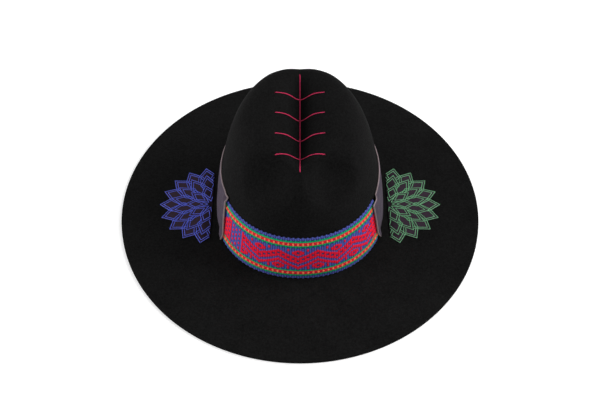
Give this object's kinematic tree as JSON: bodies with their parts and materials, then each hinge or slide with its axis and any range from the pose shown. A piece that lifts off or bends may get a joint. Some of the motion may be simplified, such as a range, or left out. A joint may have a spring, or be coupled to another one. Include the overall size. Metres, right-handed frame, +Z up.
{
  "type": "sombrero",
  "caption": "Wide flat-brimmed felt sombrero with a creased, pinched crown, a woven front band, a suede rear band, embroidered half rosettes on the brim and a leather sweatband inside.",
  "frame": {"origin": "on the surface that the brim rests on, under the middle of the hat", "axes": "+X to the right as the hat is seen from its front, +Y from the front of the hat to its back, +Z up through the crown"},
  "size_m": [0.3846, 0.4156, 0.1348],
  "materials": {
    "felt": "matt black pressed felt with a fine short nap",
    "weave": "warp-faced woven band, blue ground with a red zigzag and dotted borders",
    "suede": "mauve-grey suede with paler raw edges",
    "applique": "dark plum suede",
    "blue_thread": "twisted cotton embroidery thread",
    "green_thread": "twisted cotton embroidery thread",
    "red_thread": "twisted crimson thread",
    "sweat_leather": "smooth dark brown leather",
    "reed_tape": "dark woven tape over a reed",
    "ribbon": "black ribbed ribbon"
  },
  "bodies": {
    "root": {"felt_body": "felt", "woven_band": "weave", "suede_band": "suede", "left_rosette_patch": "applique", "right_rosette_patch": "applique", "left_rosette_thread": "blue_thread", "right_rosette_thread": "green_thread", "crown_stitching": "red_thread", "sweatband": "sweat_leather", "sweatband_reed": "reed_tape", "sweatband_bow": "ribbon"}
  },
  "joints": []
}
